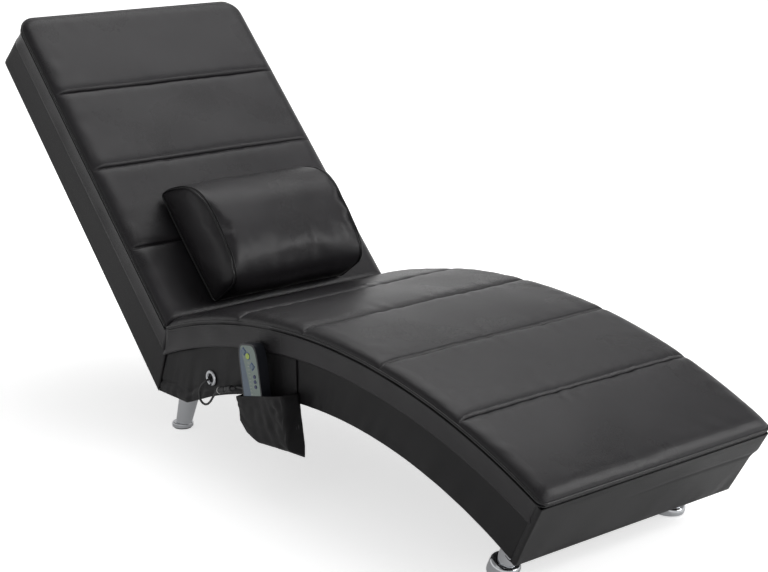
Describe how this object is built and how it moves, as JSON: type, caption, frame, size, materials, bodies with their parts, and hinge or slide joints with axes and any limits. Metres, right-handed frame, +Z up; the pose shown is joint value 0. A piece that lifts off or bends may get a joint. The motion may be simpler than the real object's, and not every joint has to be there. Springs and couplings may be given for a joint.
{
  "type": "massage chaise longue",
  "caption": "Low chaise longue with a fixed sloping backrest, an arched padded seat, chromed legs, vibration motors and a wired handset in a side pocket.",
  "frame": {"origin": "on the floor, in the middle of the box round the whole part", "axes": "+X towards the foot end, +Y towards the side without the pocket, +Z up"},
  "size_m": [1.581, 0.5537, 0.7453],
  "materials": {
    "leatherette": "black coated leatherette, soft sheen, fine grain",
    "cover": "thin black leatherette, stretched over the frame, low sheen",
    "lining": "matt black non-woven cloth",
    "timber": "planed softwood",
    "plywood": "bent plywood",
    "steel": "zinc plated",
    "chrome": "polished chrome plating",
    "brass": "turned",
    "glide_plastic": "black plastic",
    "housing_plastic": "moulded, fine texture",
    "heater": "felt covered heating pad",
    "circuit_board": "solder mask",
    "lead_sheath": "black flexible sheath",
    "lead_plastic": "black moulded connector",
    "handset_plastic": "dark moulded shell, soft gloss",
    "handset_face": "printed grey green film",
    "button_green": "soft button",
    "button_blue": "soft button",
    "button_dark": "soft button"
  },
  "bodies": {
    "root": {"back_side_rails": "timber", "back_cross_boards": "timber", "back_deck": "plywood", "back_skirt": "cover", "back_rear_panel": "cover", "back_cushion": "leatherette", "seat_side_rails": "timber", "seat_cross_boards": "timber", "seat_deck": "plywood", "seat_skirt": "cover", "seat_dust_cover": "lining", "seat_cushion": "leatherette", "corner_blocks": "timber", "joining_plates": "steel", "joining_bolts": "steel", "joining_nuts": "steel", "leg_plates": "steel", "rear_leg_left": "chrome", "rear_leg_right": "chrome", "front_leg_left": "chrome", "front_leg_right": "chrome", "leg_glides": "glide_plastic", "motor_housings": "housing_plastic", "motor_cans": "steel", "heater_pad": "heater", "control_box": "housing_plastic", "control_lid": "housing_plastic", "control_board": "circuit_board", "dc_inlet": "housing_plastic", "wiring_harness": "lead_sheath", "grommet": "chrome", "grommet_washer": "steel", "side_pocket": "cover", "grommet_lead": "lead_sheath", "lead_plug": "lead_plastic", "lead_socket": "lead_plastic", "handset_lead": "lead_sheath", "lead_coil": "lead_sheath"},
    "pillow": {"pillow": "leatherette"},
    "handset": {"hand_rear_shell": "handset_plastic", "hand_front_shell": "handset_plastic", "hand_board": "circuit_board", "hand_face": "handset_face"},
    "motor_weight_1": {"weight_1": "brass"},
    "motor_weight_2": {"weight_2": "brass"},
    "motor_weight_3": {"weight_3": "brass"},
    "motor_weight_4": {"weight_4": "brass"},
    "motor_weight_5": {"weight_5": "brass"},
    "key_power": {"button_power": "button_green"},
    "key_upper": {"button_upper": "button_blue"},
    "key_lower": {"button_lower": "button_blue"},
    "key_zone_1": {"button_zone_1": "button_dark"},
    "key_zone_2": {"button_zone_2": "button_dark"},
    "key_zone_3": {"button_zone_3": "button_dark"}
  },
  "joints": [
    {"name": "pillow_lift", "type": "slide", "parent": "root", "child": "pillow", "axis": [0, 0, 1], "range_m": [0, 0.4]},
    {"name": "handset_lift", "type": "slide", "parent": "root", "child": "handset", "axis": [-0.1736, 0, 0.9848], "range_m": [0, 0.12]},
    {"name": "motor_spin_1", "type": "hinge", "parent": "root", "child": "motor_weight_1", "pos_m": [-0.67308, -0.07115, 0.60841], "axis": [0, 1, 0], "continuous": true},
    {"name": "motor_spin_2", "type": "hinge", "parent": "root", "child": "motor_weight_2", "pos_m": [-0.67308, 0.11285, 0.60841], "axis": [0, 1, 0], "continuous": true},
    {"name": "motor_spin_3", "type": "hinge", "parent": "root", "child": "motor_weight_3", "pos_m": [-0.35553, -0.07115, 0.28186], "axis": [0, 1, 0], "continuous": true},
    {"name": "motor_spin_4", "type": "hinge", "parent": "root", "child": "motor_weight_4", "pos_m": [-0.35553, 0.11285, 0.28186], "axis": [0, 1, 0], "continuous": true},
    {"name": "motor_spin_5", "type": "hinge", "parent": "root", "child": "motor_weight_5", "pos_m": [0.36205, 0.02085, 0.22932], "axis": [0, 1, 0], "continuous": true},
    {"name": "press_power", "type": "slide", "parent": "handset", "child": "key_power", "axis": [0, 1, 0], "range_m": [0, 0.0008], "stiffness_N_per_m": 300},
    {"name": "press_upper", "type": "slide", "parent": "handset", "child": "key_upper", "axis": [0, 1, 0], "range_m": [0, 0.0008], "stiffness_N_per_m": 300},
    {"name": "press_lower", "type": "slide", "parent": "handset", "child": "key_lower", "axis": [0, 1, 0], "range_m": [0, 0.0008], "stiffness_N_per_m": 300},
    {"name": "press_zone_1", "type": "slide", "parent": "handset", "child": "key_zone_1", "axis": [0, 1, 0], "range_m": [0, 0.0008], "stiffness_N_per_m": 300},
    {"name": "press_zone_2", "type": "slide", "parent": "handset", "child": "key_zone_2", "axis": [0, 1, 0], "range_m": [0, 0.0008], "stiffness_N_per_m": 300},
    {"name": "press_zone_3", "type": "slide", "parent": "handset", "child": "key_zone_3", "axis": [0, 1, 0], "range_m": [0, 0.0008], "stiffness_N_per_m": 300}
  ]
}
